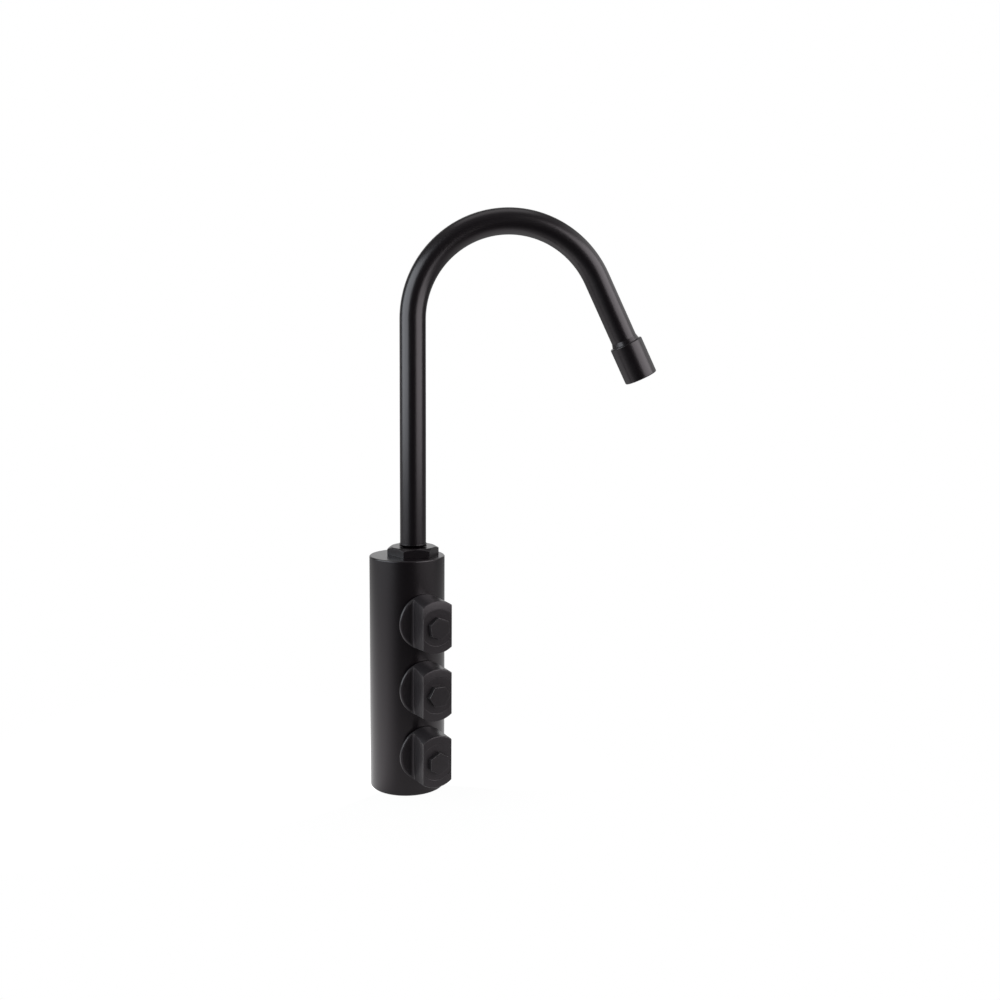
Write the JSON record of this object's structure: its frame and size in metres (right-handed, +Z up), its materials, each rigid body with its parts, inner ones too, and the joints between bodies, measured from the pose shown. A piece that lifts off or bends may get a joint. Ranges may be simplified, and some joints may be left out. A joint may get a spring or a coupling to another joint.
{
  "type": "three-way kitchen tap",
  "caption": "Worktop tap with an upright round body, quarter-turn knobs stacked on one side and a swivelling swan-neck spout with a separate filtered water way.",
  "frame": {"origin": "centre of the body's foot, on the worktop", "axes": "+Z up along the body, +X the way the spout points at rest"},
  "size_m": [0.1721, 0.065, 0.3467],
  "materials": {
    "black_coat": "satin black powder coat",
    "black_screw": "black oxide",
    "bare_brass": "turned brass",
    "rubber": "matte",
    "ceramic": "lapped alumina",
    "slip_plastic": "white slip plastic",
    "liner_plastic": "food-grade tube",
    "insert_plastic": "moulded, grey",
    "steel_mesh": "woven mesh"
  },
  "bodies": {
    "tap": {"tap_body": "black_coat", "base_seal": "rubber", "spout_nut": "black_coat", "thrust_ring": "slip_plastic", "upper_bonnet": "bare_brass", "upper_bonnet_washer": "rubber", "upper_seat_seal": "rubber", "upper_fixed_disc": "ceramic", "middle_bonnet": "bare_brass", "middle_bonnet_washer": "rubber", "middle_seat_seal": "rubber", "middle_fixed_disc": "ceramic", "lower_bonnet": "bare_brass", "lower_bonnet_washer": "rubber", "lower_seat_seal": "rubber", "lower_fixed_disc": "ceramic"},
    "spout": {"spout_stem": "black_coat", "spout_orings": "rubber", "spout_tube": "black_coat", "filtered_liner": "liner_plastic", "outlet_collar": "black_coat", "aerator_housing": "black_coat", "aerator_washer": "rubber", "aerator_screen": "steel_mesh", "aerator_insert": "insert_plastic"},
    "upper_valve": {"upper_moving_disc": "ceramic", "upper_spindle": "bare_brass", "upper_spindle_orings": "rubber", "upper_knob": "black_coat", "upper_knob_screw": "black_screw"},
    "middle_valve": {"middle_moving_disc": "ceramic", "middle_spindle": "bare_brass", "middle_spindle_orings": "rubber", "middle_knob": "black_coat", "middle_knob_screw": "black_screw"},
    "lower_valve": {"lower_moving_disc": "ceramic", "lower_spindle": "bare_brass", "lower_spindle_orings": "rubber", "lower_knob": "black_coat", "lower_knob_screw": "black_screw"}
  },
  "joints": [
    {"name": "spout_swivel", "type": "hinge", "parent": "tap", "child": "spout", "pos_m": [0.0036, 0, 0.142], "axis": [0, 0, 1], "continuous": true},
    {"name": "upper_knob_turn", "type": "hinge", "parent": "tap", "child": "upper_valve", "pos_m": [0, 0, 0.106], "axis": [0.3907, -0.9205, 0], "range_deg": [0, 90]},
    {"name": "middle_knob_turn", "type": "hinge", "parent": "tap", "child": "middle_valve", "pos_m": [0, 0, 0.066], "axis": [0.3907, -0.9205, 0], "range_deg": [0, 90]},
    {"name": "lower_knob_turn", "type": "hinge", "parent": "tap", "child": "lower_valve", "pos_m": [0, 0, 0.026], "axis": [0.3907, -0.9205, 0], "range_deg": [0, 90]}
  ]
}
